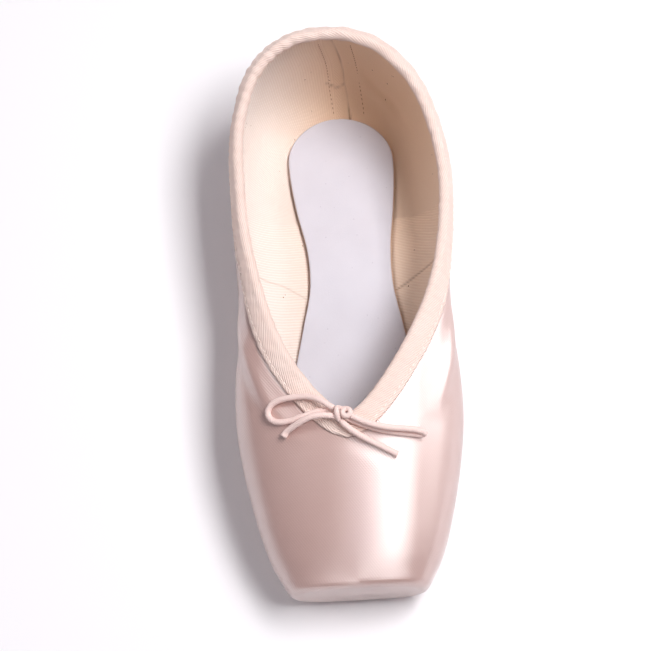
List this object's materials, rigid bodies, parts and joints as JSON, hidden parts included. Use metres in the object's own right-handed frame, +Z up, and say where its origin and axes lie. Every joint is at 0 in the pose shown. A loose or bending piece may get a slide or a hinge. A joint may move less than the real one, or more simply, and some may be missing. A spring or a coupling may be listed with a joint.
{
  "type": "pointe shoe",
  "caption": "Satin ballet pointe shoe with a flat platform toe, hollow box, V throat, tape binding, leather outsole and a thin cord bow.",
  "frame": {"origin": "on the floor, under the middle of the shoe's length and width", "axes": "+Z up, toe towards -Y, heel towards +Y, +X to the right as seen from above with the toe nearest the viewer"},
  "size_m": [0.0935, 0.232, 0.0627],
  "materials": {
    "satin": "pale pink woven satin, glossy, over a paste-stiffened box",
    "leather_sole": "buffed tan sole leather",
    "sock": "pale lilac-grey, matte, fine grain",
    "twill_tape": "cream cotton twill tape, matte",
    "cotton_cord": "pale pink cotton cord, matte"
  },
  "bodies": {
    "root": {"upper": "satin", "outsole": "leather_sole", "insole": "sock", "binding": "twill_tape", "bow_knot": "cotton_cord", "bow_loop_left": "cotton_cord", "bow_loop_right": "cotton_cord", "bow_end_left": "cotton_cord", "bow_end_right": "cotton_cord"}
  },
  "joints": []
}
